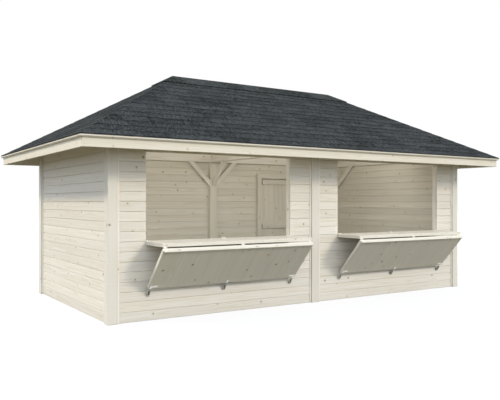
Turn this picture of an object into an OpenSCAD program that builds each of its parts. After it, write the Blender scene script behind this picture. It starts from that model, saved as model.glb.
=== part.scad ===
// Wooden market stall: a post frame with plank walls, two serving openings whose
// hatches fold down into a counter and its sloping brace panel, a boarded door in
// the back wall and a shingled hip roof.
// Millimetres. X runs along the front, Y from front to back, Z up. The origin is on
// the ground at the middle of the post frame.

/* [Post frame] */
// Depth over the outer faces of the corner posts
stall_d = 2950; // [2500:10:3400]
// Side of a square post
post_s = 120; // [100:5:150]
// Width of the posts in the middle of the front and the back
mid_post_w = 135; // [100:5:160]
// Thickness of a knee brace
brace_t = 45; // [35:1:52]
// Width of a knee brace across its length
brace_w = 75; // [50:1:100]
// Length of a knee brace along the post and along the beam
brace_leg = 420; // [300:10:500]

/* [Plank walls] */
// Height that one plank covers
course_h = 115; // [100:1:125]
// Planks below a serving opening
sill_courses = 8; // [7:1:9]
// Planks over a serving opening
lintel_courses = 1; // [1:1:2]
// Thickness of a plank
plank_t = 28; // [20:1:35]
// Depth of the planks behind the outer faces of the posts
plank_recess = 25; // [20:1:45]
// Width of the battens that cover the planks' ends
batten_w = 24; // [16:1:32]
// Thickness of the battens that cover the planks' ends
batten_t = 8; // [6:1:18]

/* [Serving openings] */
// Width of a serving opening
opening_w = 2080; // [1600:10:2400]
// Width of the planks between a serving opening and the posts beside it
pier_w = 348.5; // [300:0.5:500]
// Width of the studs beside a serving opening
stud_w = 60; // [40:1:80]
// Height of the rail below a serving opening
sill_rail_h = 70; // [50:1:100]

/* [Hatches] */
// Overlap of a hatch past each side of its opening
leaf_lap = 5; // [5:1:30]
// Depth of the counter
counter_d = 450; // [380:5:480]
// Length of the brace panel down its slope
panel_l = 620; // [560:5:650]
// Slope of the brace panel from the vertical
panel_lean = 42; // [40:1:45]
// Thickness of the boards of a hatch
board_t = 20; // [16:1:24]
// Thickness of the battens behind the boards
rail_t = 21; // [16:1:26]
// Width of the battens behind the boards
rail_w = 70; // [50:1:90]
// Thickness of the nosing along a panel's upper edge
nosing_t = 11; // [8:1:20]
// Width of the nosing down the panel
nosing_w = 20; // [15:1:30]
// Radius of a hatch hinge's knuckle
knuckle_r = 7; // [6:0.5:9]
// Radius of a hatch hinge's pin
pin_r = 3; // [2.5:0.5:4]
// Length of one knuckle
knuckle_l = 14; // [10:1:30]
// Width of a hinge plate away from the knuckle
plate_w = 32; // [25:1:60]
// Distance of the end hinges from the sides of the opening
hinge_inset = 30; // [30:5:200]

/* [Latches] */
// Distance of the end latches from the ends of a panel
latch_inset = 25; // [22:1:80]
// Length of a latch strap along the panel
strap_l = 92; // [40:1:120]
// Width of a latch strap
strap_w = 24; // [10:1:28]
// Length of a keeper ring
keeper_h = 88; // [60:1:100]
// Thickness of a keeper ring's bar
keeper_bar = 8; // [6:1:12]
// Width of a keeper ring over its bars
keeper_w = 36; // [28:1:44]
// Depth of a keeper ring's bars
keeper_d = 14; // [10:1:20]
// Lean of a keeper ring off the planks
keeper_lean = 30; // [20:1:34]
// Height of the plate that holds a keeper ring
keeper_plate_h = 26; // [20:1:40]

/* [Door] */
// Width of the door frame over its posts
door_frame_w = 1040; // [900:10:1100]
// Width of a door frame member
door_frame_s = 62; // [50:1:80]
// Width of the stops that the leaf closes against
stop_w = 20; // [15:1:30]
// Height of the doorway
doorway_h = 1830; // [1750:5:1900]
// Least height of the planks over the door frame
over_door_h = 100; // [60:5:110]
// Thickness of a door ledge
ledge_t = 25; // [18:1:35]
// Height of a door ledge
ledge_h = 90; // [70:1:120]
// Middle of the lower ledge above the foot of the leaf
ledge_low = 190; // [120:5:300]
// Middle of the middle ledge above the foot of the leaf
ledge_mid = 915; // [800:5:1000]
// Middle of the upper ledge below the top of the leaf
ledge_high = 80; // [70:5:200]
// Distance of the ledges from the edges of the leaf
ledge_inset = 60; // [40:5:100]
// Radius of a door hinge's knuckle
door_knuckle_r = 9; // [8:0.5:12]
// Radius of a door hinge's pin
door_pin_r = 5; // [4:0.5:6]
// Height of a door hinge's strap
door_strap_h = 36; // [25:1:50]
// Length of a door hinge's strap
door_strap_l = 520; // [300:10:700]
// Height of the door pull's middle
pull_z = 1000; // [900:10:1100]
// Length of the door pull
pull_l = 160; // [120:5:220]
// Radius of the door pull's bar
pull_r = 6; // [5:0.5:8]
// Distance of the door pull's bar from the leaf
pull_stand = 40; // [30:1:50]
// Distance of the door pull from the free edge of the leaf
pull_inset = 50; // [40:1:56]

/* [Roof] */
// Overhang of the fascia boards past the posts
overhang = 426; // [350:2:450]
// Height of the long wall plates at their outer faces
plate_h = 110; // [90:1:130]
// Rise of the ridge above the walls
roof_rise = 1116; // [1000:2:1240]
// Distance of the ridge's ends from the short eaves
hip_setback = 1966; // [1700:1:2200]
// Upright thickness of the boards and shingles together
roof_t = 30; // [24:1:40]
// Reach of the shingles past the eave lath
drip = 10; // [5:1:15]
// Thickness of a fascia board
fascia_t = 20; // [16:1:28]
// Height of a fascia board
fascia_h = 128; // [100:1:132]
// Thickness of the eave lath
lath_t = 20; // [8:1:24]
// Height of the eave lath
lath_h = 21; // [15:1:30]
// Width of a rafter
rafter_w = 45; // [35:1:60]
// Upright depth of a rafter
rafter_v = 135; // [110:1:138]
// Spacing of the rafters
rafter_gap = 600; // [500:10:640]
// Thickness of the ridge cap
cap_t = 14; // [8:1:20]
// Drop of the ridge cap from its top to its edge
cap_drop = 130; // [100:5:180]

/* [Hidden] */
$fn = 48;

spruce = "#e3d9c3";
shaded_spruce = "#cfc5ae";
steel = "#b9babb";
dark_iron = "#3b3936";
shingle = "#43484a";

// Clearances: moving boards, hinge pins, hinge knuckles end to end, sloping seats
run_gap = 5;
pin_gap = 0.05;
knuckle_gap = 0.5;
seat_gap = 0.2;
plate_t = 2.5;
strap_t = 3;
// A cut runs this far past the faces that it opens
past = 1;

// Post frame: two bays of planks between three posts
post_half = post_s / 2;
mid_half = mid_post_w / 2;
jamb_x = opening_w / 2;
bay_half = jamb_x + pier_w;
in_w = mid_half + 2 * bay_half;
half_w = in_w + post_s;
half_d = stall_d / 2;
in_d = half_d - post_s;
// Whole planks, enough for the door and its frame
wall_courses = ceil((doorway_h + door_frame_s + over_door_h) / course_h);
wall_h = wall_courses * course_h;
sill_z = sill_courses * course_h;
head_z = wall_h - lintel_courses * course_h;
plank_out = half_d - plank_recess;
plank_in = plank_out - plank_t;
end_plank_out = half_w - plank_recess;
end_plank_in = end_plank_out - plank_t;
// Middle of a bay between a corner post and the middle post
bay_x = mid_half + bay_half;

// Roof planes: the long slopes rest on the wall plates and run on over the eaves
reach_w = half_w + overhang + lath_t + drip;
reach_d = half_d + overhang + lath_t + drip;
ridge_x = reach_w - hip_setback;
ridge_z = wall_h + roof_rise;
ridge_under = ridge_z - roof_t;
long_slope = (ridge_under - (wall_h + plate_h + rafter_v)) / half_d;
eave_z = ridge_under - long_slope * reach_d;
end_slope = (ridge_under - eave_z) / hip_setback;
// Heights of the underside along Y and along X, and of the rafters below it
function long_under(y) = ridge_under - long_slope * abs(y);
function end_under(x) = ridge_under - end_slope * (abs(x) - ridge_x);
function long_rafter_top(y) = long_under(y) - seat_gap;
function end_rafter_top(x) = end_under(x) - seat_gap;
function long_plate_top(y) = long_rafter_top(y) - rafter_v - seat_gap;
function end_plate_top(x) = end_rafter_top(x) - rafter_v - seat_gap;
lath_top = eave_z + end_slope * drip;
fascia_top = eave_z + end_slope * (drip + lath_t);
fascia_bottom = fascia_top - fascia_h;
fascia_w = half_w + overhang;
fascia_d = half_d + overhang;
tail_w = fascia_w - fascia_t;
tail_d = fascia_d - fascia_t;
// Hip line in plan, from the ridge end to the eave corner
hip_run = norm([hip_setback, reach_d]);
hip_turn = atan2(reach_d, hip_setback);
hip_slope = (ridge_under - eave_z) / hip_run;
// A hip rafter's flat top lies this far below the hip line
hip_drop = rafter_w / 2 * max(long_slope * cos(hip_turn), end_slope * sin(hip_turn));
// Rafters that meet at the ridge's end stop short of it
apex_gap = 1.6 * rafter_w;

// Hatches, in the Y and Z of their bay: the counter's hinge and the panel's hinge
leaf_w = opening_w + 2 * leaf_lap;
leaf_t = board_t + rail_t;
// The nosing stands inside the opening while the hatch is shut
nosing_l = opening_w - 2 * run_gap;
counter_hinge_y = -plank_out - run_gap / 2;
counter_hinge_z = sill_z + knuckle_r;
counter_in_y = -plank_out - run_gap;
counter_out_y = counter_in_y - counter_d;
panel_hinge_y = counter_out_y - run_gap / 2;
panel_hinge_z = sill_z - leaf_t - knuckle_r;
hinge_xs = [-jamb_x + hinge_inset, 0, jamb_x - hinge_inset];
latch_xs = [-leaf_w / 2 + latch_inset, 0, leaf_w / 2 - latch_inset];
panel_foot_z = panel_hinge_z - (panel_l + run_gap / 2) * cos(panel_lean)
  - (knuckle_r + leaf_t) * sin(panel_lean);
keeper_z = panel_foot_z - run_gap * 2;

// Door, centred in the right bay of the back wall
door_x0 = bay_x - door_frame_w / 2;
door_x1 = bay_x + door_frame_w / 2;
leaf_x0 = door_x0 + door_frame_s + run_gap;
leaf_x1 = door_x1 - door_frame_s - run_gap;
leaf_z0 = 2 * run_gap;
leaf_z1 = doorway_h - run_gap;
stop_in = plank_in - run_gap;
door_hinge_x = leaf_x0 - run_gap / 2;
door_hinge_y = plank_out + door_knuckle_r;
ledge_zs = [leaf_z0 + ledge_low, leaf_z0 + ledge_mid, leaf_z1 - ledge_high];
strap_zs = [ledge_zs[0], ledge_zs[2]];
door_plate_w = 40;
door_plate_t = 4;

module block(x, y, z) {
  translate([x[0], y[0], z[0]]) cube([x[1] - x[0], y[1] - y[0], z[1] - z[0]]);
}

// Two corner posts and the middle post between them, along one long side
module post_row() {
  for (x = [[-half_w, -in_w], [-mid_half, mid_half], [in_w, half_w]])
    block(x, [in_d, half_d], [0, wall_h]);
}

module front_posts() {
  color(spruce) mirror([0, 1, 0]) post_row();
}

module back_posts() {
  color(spruce) post_row();
}

// Profile in the run and height of a wall plate, its top planed to the rafters
module plate_profile(inner, outer, inner_top, outer_top) {
  polygon([[inner, wall_h], [outer, wall_h], [outer, outer_top], [inner, inner_top]]);
}

// Sets a profile drawn in Y and Z along X, from -length / 2 to length / 2
module along_x(length) {
  rotate([90, 0, 90]) linear_extrude(length, center = true) children();
}

// Sets a profile drawn in X and Z along Y, from -length / 2 to length / 2
module along_y(length) {
  rotate([90, 0, 0]) linear_extrude(length, center = true) children();
}

module long_beams() {
  color(spruce)
    for (side = [0, 1]) mirror([0, side, 0])
      along_x(2 * half_w)
        plate_profile(in_d, half_d, long_plate_top(in_d), long_plate_top(half_d));
}

module side_beams() {
  color(spruce)
    for (side = [0, 1]) mirror([side, 0, 0])
      along_y(2 * in_d)
        plate_profile(in_w, half_w, end_plate_top(in_w), end_plate_top(half_w));
}

module tie_beam() {
  color(spruce)
    block([-post_half, post_half], [-in_d, in_d], [wall_h, wall_h + post_s]);
}

// Knee brace in the corner at the origin, its post below and its beam along +X
module knee_brace() {
  foot = brace_leg - brace_w * sqrt(2);
  rotate([90, 0, 0]) linear_extrude(brace_t)
    polygon([[0, -brace_leg], [brace_leg, 0], [foot, 0], [0, -foot]]);
}

module back_braces() {
  color(spruce)
    for (right = [0, 1]) mirror([1 - right, 0, 0]) {
      translate([mid_half, in_d + brace_t, wall_h]) knee_brace();
      translate([in_w, in_d + brace_t, wall_h]) mirror([1, 0, 0]) knee_brace();
    }
}

module cross_braces() {
  color(spruce)
    for (back = [0, 1]) mirror([0, 1 - back, 0]) {
      for (right = [0, 1]) mirror([1 - right, 0, 0])
        translate([in_w, in_d, wall_h]) rotate([0, 0, -90]) knee_brace_outward();
      translate([-brace_t / 2, in_d, wall_h]) rotate([0, 0, -90]) knee_brace_outward();
    }
}

// The same brace with its thickness to the other side of its plane
module knee_brace_outward() {
  translate([0, brace_t, 0]) knee_brace();
}

module left_wall() {
  color(spruce) block([-end_plank_out, -end_plank_in], [-in_d, in_d], [0, wall_h]);
}

module right_wall() {
  color(spruce) block([end_plank_in, end_plank_out], [-in_d, in_d], [0, wall_h]);
}

module back_left_wall() {
  color(spruce) block([-in_w, -mid_half], [plank_in, plank_out], [0, wall_h]);
}

module back_door_piers() {
  color(spruce) {
    block([mid_half, door_x0], [plank_in, plank_out], [0, wall_h]);
    block([door_x1, in_w], [plank_in, plank_out], [0, wall_h]);
  }
}

module back_over_door() {
  color(spruce)
    block([door_x0, door_x1], [plank_in, plank_out], [doorway_h + door_frame_s, wall_h]);
}

// Planks of a front bay, set at the bay's middle: below, beside and over its opening
module front_planks(x0, x1, z0, z1) {
  color(spruce) block([x0, x1], [-plank_out, -plank_in], [z0, z1]);
}

module bay_dado() {
  front_planks(-bay_half, bay_half, 0, sill_z);
}

module bay_piers() {
  for (side = [0, 1]) mirror([side, 0, 0]) front_planks(jamb_x, bay_half, sill_z, wall_h);
}

module bay_lintel() {
  front_planks(-jamb_x, jamb_x, head_z, wall_h);
}

module left_bay() {
  translate([-bay_x, 0, 0]) children();
}

module right_bay() {
  translate([bay_x, 0, 0]) children();
}

module both_bays() {
  left_bay() children();
  right_bay() children();
}

module jamb_studs() {
  color(shaded_spruce)
    both_bays()
      for (side = [0, 1]) mirror([side, 0, 0])
        block([jamb_x, jamb_x + stud_w], [-plank_in, -in_d], [0, wall_h]);
}

module sill_rails() {
  color(shaded_spruce)
    both_bays() block([-jamb_x, jamb_x], [-plank_in, -in_d], [sill_z - sill_rail_h, sill_z]);
}

// Upright battens on the planks, against each side of the posts
module corner_battens() {
  proud = plank_out + batten_t;
  end_proud = end_plank_out + batten_t;
  color(spruce) {
    for (back = [0, 1]) mirror([0, back, 0])
      for (x0 = [-in_w, -mid_half - batten_w, mid_half, in_w - batten_w])
        block([x0, x0 + batten_w], [-proud, -plank_out], [0, wall_h]);
    for (right = [0, 1]) mirror([right, 0, 0])
      for (y0 = [-in_d, in_d - batten_w])
        block([-end_proud, -end_plank_out], [y0, y0 + batten_w], [0, wall_h]);
  }
}

// Rebated posts and head: the leaf shuts against the wider part inside
module door_posts() {
  color(spruce)
    for (right = [0, 1]) translate([bay_x, 0, 0]) mirror([right, 0, 0]) translate([-bay_x, 0, 0]) {
      block([door_x0, door_x0 + door_frame_s], [in_d, plank_out], [0, doorway_h]);
      block([door_x0, door_x0 + door_frame_s + stop_w], [in_d, stop_in], [0, doorway_h]);
    }
}

module door_head() {
  stop_end = door_frame_s + stop_w;
  color(spruce) {
    block([door_x0, door_x1], [in_d, plank_out], [doorway_h, doorway_h + door_frame_s]);
    block([door_x0 + stop_end, door_x1 - stop_end], [in_d, stop_in],
          [doorway_h - stop_w, doorway_h + door_frame_s]);
  }
}

module door_leaf() {
  color(spruce) block([leaf_x0, leaf_x1], [plank_in, plank_out], [leaf_z0, leaf_z1]);
}

module door_ledges() {
  color(spruce)
    for (z = ledge_zs)
      block([leaf_x0 + ledge_inset, leaf_x1 - ledge_inset], [plank_in - ledge_t, plank_in],
            [z - ledge_h / 2, z + ledge_h / 2]);
}

// Hinge straps on the leaf, each rolled into a knuckle round its pintle
module door_straps() {
  color(dark_iron)
    for (z = strap_zs) translate([door_hinge_x, door_hinge_y, z - door_strap_h / 2])
      difference() {
        union() {
          cylinder(r = door_knuckle_r, h = door_strap_h);
          translate([0, -door_knuckle_r, 0]) cube([door_strap_l, door_plate_t, door_strap_h]);
        }
        translate([0, 0, -past])
          cylinder(r = door_pin_r + pin_gap, h = door_strap_h + 2 * past);
      }
}

// Pintles on the frame: a plate, a foot under the knuckle and the pin
module door_pintles() {
  foot_h = door_strap_h / 2;
  color(dark_iron)
    for (z = strap_zs) translate([door_hinge_x, door_hinge_y, z - door_strap_h / 2]) {
      translate([0, 0, -knuckle_gap - foot_h]) {
        cylinder(r = door_knuckle_r, h = foot_h);
        translate([-door_plate_w, -door_knuckle_r, 0])
          cube([door_plate_w, door_plate_t, foot_h]);
        cylinder(r = door_pin_r, h = foot_h + knuckle_gap + door_strap_h);
      }
    }
}

// Bow pulls on both faces of the leaf, near its free edge
module door_pull() {
  color(dark_iron)
    for (face = [[plank_out, 1], [plank_in, -1]])
      translate([leaf_x1 - pull_inset, face[0], pull_z]) scale([1, face[1], 1]) {
        translate([0, pull_stand, -pull_l / 2]) cylinder(r = pull_r, h = pull_l);
        for (end = [-1, 1])
          translate([0, 0, end * (pull_l / 2 - pull_r)]) rotate([-90, 0, 0])
            cylinder(r = pull_r, h = pull_stand);
      }
}

// Frame of the panel's hinge: X along the pin, Y down the slope, Z through the panel
module at_panel() {
  translate([0, panel_hinge_y, panel_hinge_z]) rotate([-90 + panel_lean, 0, 0])
    mirror([0, 0, 1]) children();
}

// A ladder of battens: two along the leaf, three across it
module batten_ladder(depth) {
  half = leaf_w / 2;
  for (y = [0, depth - rail_w]) translate([-half, y, 0]) cube([leaf_w, rail_w, rail_t]);
  for (x = [-half, -rail_w / 2, half - rail_w]) translate([x, 0, 0]) cube([rail_w, depth, rail_t]);
}

module hatch_counter() {
  color(spruce)
    block([-leaf_w / 2, leaf_w / 2], [counter_out_y, counter_in_y], [sill_z - board_t, sill_z]);
}

module hatch_counter_battens() {
  color(shaded_spruce)
    translate([0, counter_out_y, sill_z - leaf_t]) batten_ladder(counter_d);
}

module hatch_panel() {
  color(spruce)
    at_panel() translate([-leaf_w / 2, run_gap / 2, knuckle_r + rail_t])
      cube([leaf_w, panel_l, board_t]);
}

// The ladder behind the boards and the nosing along their upper edge
module hatch_panel_battens() {
  color(shaded_spruce)
    at_panel() translate([0, run_gap / 2, knuckle_r]) {
      batten_ladder(panel_l);
      translate([-nosing_l / 2, 0, leaf_t]) cube([nosing_l, nosing_w, nosing_t]);
    }
}

// Knuckle along X, centred at x, with a plate to +Y whose seat is a radius below
module hinge_knuckle(x, length) {
  translate([x - length / 2, 0, 0]) {
    rotate([0, 90, 0]) cylinder(r = knuckle_r, h = length);
    translate([0, 0, -knuckle_r]) cube([length, plate_w, plate_t]);
  }
}

// The middle knuckle of a hinge, bored for its pin
module bored_knuckle(x) {
  difference() {
    hinge_knuckle(x, knuckle_l);
    translate([x - knuckle_l / 2 - past, 0, 0]) rotate([0, 90, 0])
      cylinder(r = pin_r + pin_gap, h = knuckle_l + 2 * past);
  }
}

// The two outer knuckles of a hinge on one plate, with the pin fixed in them
module pinned_knuckles(x) {
  step = knuckle_l + knuckle_gap;
  for (side = [-1, 1]) hinge_knuckle(x + side * step, knuckle_l);
  translate([x - step - knuckle_l / 2, 0, 0]) {
    rotate([0, 90, 0]) cylinder(r = pin_r, h = 2 * step + knuckle_l);
    translate([0, knuckle_r + knuckle_gap, -knuckle_r])
      cube([2 * step + knuckle_l, plate_w - knuckle_r - knuckle_gap, plate_t]);
  }
}

module at_counter_hinge() {
  translate([0, counter_hinge_y, counter_hinge_z]) children();
}

module sill_hinges() {
  color(steel)
    both_bays() at_counter_hinge() for (x = hinge_xs) bored_knuckle(x);
}

// Hinge halves on the counter: above at the sill, below at its outer edge
module hatch_counter_hinges() {
  color(steel) {
    at_counter_hinge() mirror([0, 1, 0]) for (x = hinge_xs) pinned_knuckles(x);
    translate([0, panel_hinge_y, panel_hinge_z]) mirror([0, 0, 1])
      for (x = hinge_xs) pinned_knuckles(x);
  }
}

module hatch_panel_hinges() {
  color(steel) at_panel() mirror([0, 0, 1]) for (x = hinge_xs) bored_knuckle(x);
}

// Latch tongues at the panel's lower edge, those at its ends on straps that run inwards
module hatch_latches() {
  foot = run_gap / 2 + panel_l;
  color(steel)
    at_panel() translate([0, foot - 2 * strap_w, knuckle_r + leaf_t]) {
      for (x = latch_xs) translate([x - strap_w / 2, 0, 0]) cube([strap_w, 2 * strap_w, strap_t]);
      for (right = [0, 1]) mirror([right, 0, 0])
        translate([latch_xs[0] - strap_w / 2, 0, 0]) cube([strap_l, strap_w, strap_t]);
    }
}

// Keeper rings that lean off their plates on the planks, just below the panel's lower edge
module latch_keepers() {
  color(dark_iron)
    both_bays() for (x = latch_xs)
      translate([x - keeper_w / 2, -plank_out, keeper_z - keeper_h * cos(keeper_lean)]) {
        translate([0, -plate_t, 0]) cube([keeper_w, plate_t, keeper_plate_h]);
        rotate([keeper_lean, 0, 0]) translate([0, -keeper_d, 0]) difference() {
          cube([keeper_w, keeper_d, keeper_h]);
          translate([keeper_bar, -past, keeper_bar])
            cube([keeper_w - 2 * keeper_bar, keeper_d + 2 * past, keeper_h - 2 * keeper_bar]);
        }
      }
}

// Roof slope between its eave corners and the ridge, mitred at the hips
module long_roof_slope() {
  foot = [[-reach_w, -reach_d, eave_z], [reach_w, -reach_d, eave_z]];
  head = [[ridge_x, 0, ridge_under], [-ridge_x, 0, ridge_under]];
  roof_slab(concat(foot, head));
}

module end_roof_slope() {
  roof_slab([[-reach_w, reach_d, eave_z], [-reach_w, -reach_d, eave_z], [-ridge_x, 0, ridge_under]]);
}

// Slab of the roof's thickness above an outline that turns left seen from above
module roof_slab(outline) {
  n = len(outline);
  low = [for (i = [n - 1 : -1 : 0]) i];
  polyhedron(
    concat(outline, [for (p = outline) p + [0, 0, roof_t]]),
    concat([[for (i = [0 : n - 1]) i]], [[for (i = low) n + i]],
           [for (i = [0 : n - 1]) [(i + 1) % n, i, n + i, n + (i + 1) % n]]));
}

module roof_front() {
  color(shingle) long_roof_slope();
}

module roof_back() {
  color(shingle) rotate([0, 0, 180]) long_roof_slope();
}

module roof_left() {
  color(shingle) end_roof_slope();
}

module roof_right() {
  color(shingle) rotate([0, 0, 180]) end_roof_slope();
}

// Cap bent over the ridge and the tops of the hips, down to one level all round
module ridge_cap() {
  seat_z = ridge_z + seat_gap;
  cap_x = ridge_x + cap_drop / end_slope;
  cap_y = cap_drop / long_slope;
  low = [for (c = [[-1, -1], [1, -1], [1, 1], [-1, 1]]) [c[0] * cap_x, c[1] * cap_y, seat_z - cap_drop]];
  skin = concat(low, [[-ridge_x, 0, seat_z], [ridge_x, 0, seat_z]]);
  slopes = [[0, 4, 5, 1], [1, 5, 2], [2, 5, 4, 3], [3, 4, 0]];
  n = len(skin);
  color(shingle)
    polyhedron(
      concat(skin, [for (p = skin) p + [0, 0, cap_t]]),
      concat([for (f = slopes) [for (i = [len(f) - 1 : -1 : 0]) f[i]]],
             [for (f = slopes) [for (i = f) n + i]],
             [for (i = [0 : 3]) [(i + 1) % 4, i, n + i, n + (i + 1) % 4]]));
}

module ridge_beam() {
  top = long_rafter_top(rafter_w / 2);
  color(shaded_spruce)
    block([-ridge_x + rafter_w, ridge_x - rafter_w], [-rafter_w / 2, rafter_w / 2], [top - rafter_v, top]);
}

// Rafter profile in its run and height, from run a to run b
module rafter_profile(a, top_a, b, top_b, depth) {
  polygon([[a, top_a - depth], [b, top_b - depth], [b, top_b], [a, top_a]]);
}

module hip_rafters() {
  start = apex_gap;
  end = hip_run * (tail_d - rafter_w) / reach_d;
  top = ridge_under - hip_drop - seat_gap;
  color(shaded_spruce)
    for (back = [0, 1], right = [0, 1]) mirror([0, 1 - back, 0]) mirror([1 - right, 0, 0])
      translate([ridge_x, 0, 0]) rotate([0, 0, hip_turn]) along_y(rafter_w)
        rafter_profile(start, top - hip_slope * start, end, top - hip_slope * end,
                       rafter_v - 2 * hip_drop);
}

// Rafters of the long slopes: whole ones at the ridge, jack rafters out to the hips
module long_rafters() {
  reach = floor((in_w - rafter_w) / rafter_gap);
  color(shaded_spruce)
    for (back = [0, 1], i = [-reach : reach]) mirror([0, back, 0]) {
      x = i * rafter_gap;
      past_ridge = abs(x) - ridge_x + rafter_w;
      hip_y = reach_d * (abs(x) - ridge_x) / hip_setback + apex_gap;
      top_y = past_ridge > 0 ? max(hip_y, apex_gap) : rafter_w / 2;
      translate([x, 0, 0]) along_x(rafter_w)
        rafter_profile(top_y, long_rafter_top(top_y), tail_d, long_rafter_top(tail_d), rafter_v);
    }
}

// Jack rafters of the hip ends, up to the hips
module end_rafters() {
  reach = floor((in_d - rafter_w) / rafter_gap);
  color(shaded_spruce)
    for (right = [0, 1], i = [-reach : reach]) mirror([1 - right, 0, 0]) {
      y = i * rafter_gap;
      top_x = ridge_x + hip_setback * abs(y) / reach_d + apex_gap;
      translate([0, y, 0]) along_y(rafter_w)
        rafter_profile(top_x, end_rafter_top(top_x), tail_w, end_rafter_top(tail_w), rafter_v);
    }
}

module long_fascias() {
  color(spruce)
    for (back = [0, 1]) mirror([0, back, 0])
      block([-fascia_w, fascia_w], [-fascia_d, -tail_d], [fascia_bottom, fascia_top]);
}

module short_fascias() {
  color(spruce)
    for (right = [0, 1]) mirror([right, 0, 0])
      block([-fascia_w, -tail_w], [-tail_d, tail_d], [fascia_bottom, fascia_top]);
}

// Lath round the tops of the fascia boards, mitred at the corners
module eave_lath() {
  lath_w = fascia_w + lath_t;
  lath_d = fascia_d + lath_t;
  color(spruce)
    difference() {
      block([-lath_w, lath_w], [-lath_d, lath_d], [lath_top - lath_h, lath_top]);
      block([-fascia_w, fascia_w], [-fascia_d, fascia_d], [lath_top - lath_h - past, lath_top + past]);
    }
}

front_posts();
back_posts();
long_beams();
side_beams();
tie_beam();
back_braces();
cross_braces();
left_wall();
right_wall();
back_left_wall();
back_door_piers();
back_over_door();
left_bay() bay_dado();  // front_left_dado
left_bay() bay_piers();  // front_left_piers
left_bay() bay_lintel();  // front_left_lintel
right_bay() bay_dado();  // front_right_dado
right_bay() bay_piers();  // front_right_piers
right_bay() bay_lintel();  // front_right_lintel
jamb_studs();
sill_rails();
corner_battens();
door_posts();
door_head();
door_leaf();
door_ledges();
door_straps();
door_pintles();
door_pull();
sill_hinges();
latch_keepers();
left_bay() hatch_counter();  // left_counter
left_bay() hatch_counter_battens();  // left_counter_battens
left_bay() hatch_counter_hinges();  // left_counter_hinges
left_bay() hatch_panel();  // left_panel
left_bay() hatch_panel_battens();  // left_panel_battens
left_bay() hatch_panel_hinges();  // left_panel_hinges
left_bay() hatch_latches();  // left_latches
right_bay() hatch_counter();  // right_counter
right_bay() hatch_counter_battens();  // right_counter_battens
right_bay() hatch_counter_hinges();  // right_counter_hinges
right_bay() hatch_panel();  // right_panel
right_bay() hatch_panel_battens();  // right_panel_battens
right_bay() hatch_panel_hinges();  // right_panel_hinges
right_bay() hatch_latches();  // right_latches
roof_front();
roof_back();
roof_left();
roof_right();
ridge_cap();
ridge_beam();
hip_rafters();
long_rafters();
end_rafters();
long_fascias();
short_fascias();
eave_lath();
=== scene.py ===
"""Looks of the wooden market stall: boards, shingles, fittings, studio and camera.

Lengths are in metres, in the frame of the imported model: X runs along the front, Y towards
the back and Z up.  Every piece made of boards or shingles carries attributes that its
finish reads: "grain", a point in the board's own space with X along the fibres, "tone", one
number a board, and "across", how far a point lies from the board's middle line.
"""

import logging
import math
import random
from dataclasses import dataclass
from enum import Enum
from functools import cache, partial
from typing import Any, Iterator, Sequence, Union

import bmesh
import bpy
from bmesh.types import BMEdge, BMesh, BMVert
from mathutils import Matrix, Vector


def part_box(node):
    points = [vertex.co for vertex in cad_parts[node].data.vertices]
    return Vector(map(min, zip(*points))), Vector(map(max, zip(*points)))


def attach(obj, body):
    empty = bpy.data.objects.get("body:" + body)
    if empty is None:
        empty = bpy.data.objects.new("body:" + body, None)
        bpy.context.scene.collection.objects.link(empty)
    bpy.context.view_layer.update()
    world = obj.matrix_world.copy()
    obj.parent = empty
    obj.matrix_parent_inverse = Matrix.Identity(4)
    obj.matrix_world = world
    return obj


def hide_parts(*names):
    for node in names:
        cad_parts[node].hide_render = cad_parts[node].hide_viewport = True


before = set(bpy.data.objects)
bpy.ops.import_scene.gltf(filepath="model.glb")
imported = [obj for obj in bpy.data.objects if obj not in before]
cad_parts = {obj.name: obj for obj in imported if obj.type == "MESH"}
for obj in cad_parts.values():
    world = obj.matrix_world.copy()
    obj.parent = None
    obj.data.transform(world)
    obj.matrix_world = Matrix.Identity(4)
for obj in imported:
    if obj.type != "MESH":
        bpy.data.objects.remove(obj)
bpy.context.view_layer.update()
STALL = "stall"
MERGE_GAP = 1e-5
CUT_GAP = 1e-6
SQUARE_DOT = 0.02
FLAT_ANGLE = math.radians(1.0)
SHARP_ANGLE = math.radians(20.0)
X_AXIS = Vector((1.0, 0.0, 0.0))
Y_AXIS = Vector((0.0, 1.0, 0.0))
Z_AXIS = Vector((0.0, 0.0, 1.0))
HANDS = (-1.0, 1.0)
log = logging.getLogger("stall")

Colour = tuple[float, float, float, float]
Triple = tuple[float, float, float]
Span = tuple[float, float]
Operand = Union["Signal", float]
Plane = tuple[Vector, Vector]
WHITE: Colour = (1.0, 1.0, 1.0, 1.0)


def srgb(red: int, green: int, blue: int) -> Colour:
    """Turns a colour of 0 to 255 as a screen shows it into linear light.

    Args:
        red, green, blue: the screen values.

    Returns:
        The linear colour with full opacity.
    """
    def linear(level: float) -> float:
        """Linear light of one channel."""
        return level / 12.92 if level <= 0.04045 else ((level + 0.055) / 1.055) ** 2.4

    return (linear(red / 255), linear(green / 255), linear(blue / 255), 1.0)


class Run(Enum):
    """Which way the boards of a panel run."""

    LENGTHWISE = "along the panel's long side"
    CROSSWISE = "across the panel's long side"


class Slot(Enum):
    """The record's material slots."""

    PLANKS = "planks"
    FRAME = "frame_wood"
    ROOF_WOOD = "roof_wood"
    HATCH = "hatch_boards"
    SHINGLES = "shingles"
    STEEL = "bright_steel"
    IRON = "dark_iron"


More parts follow.
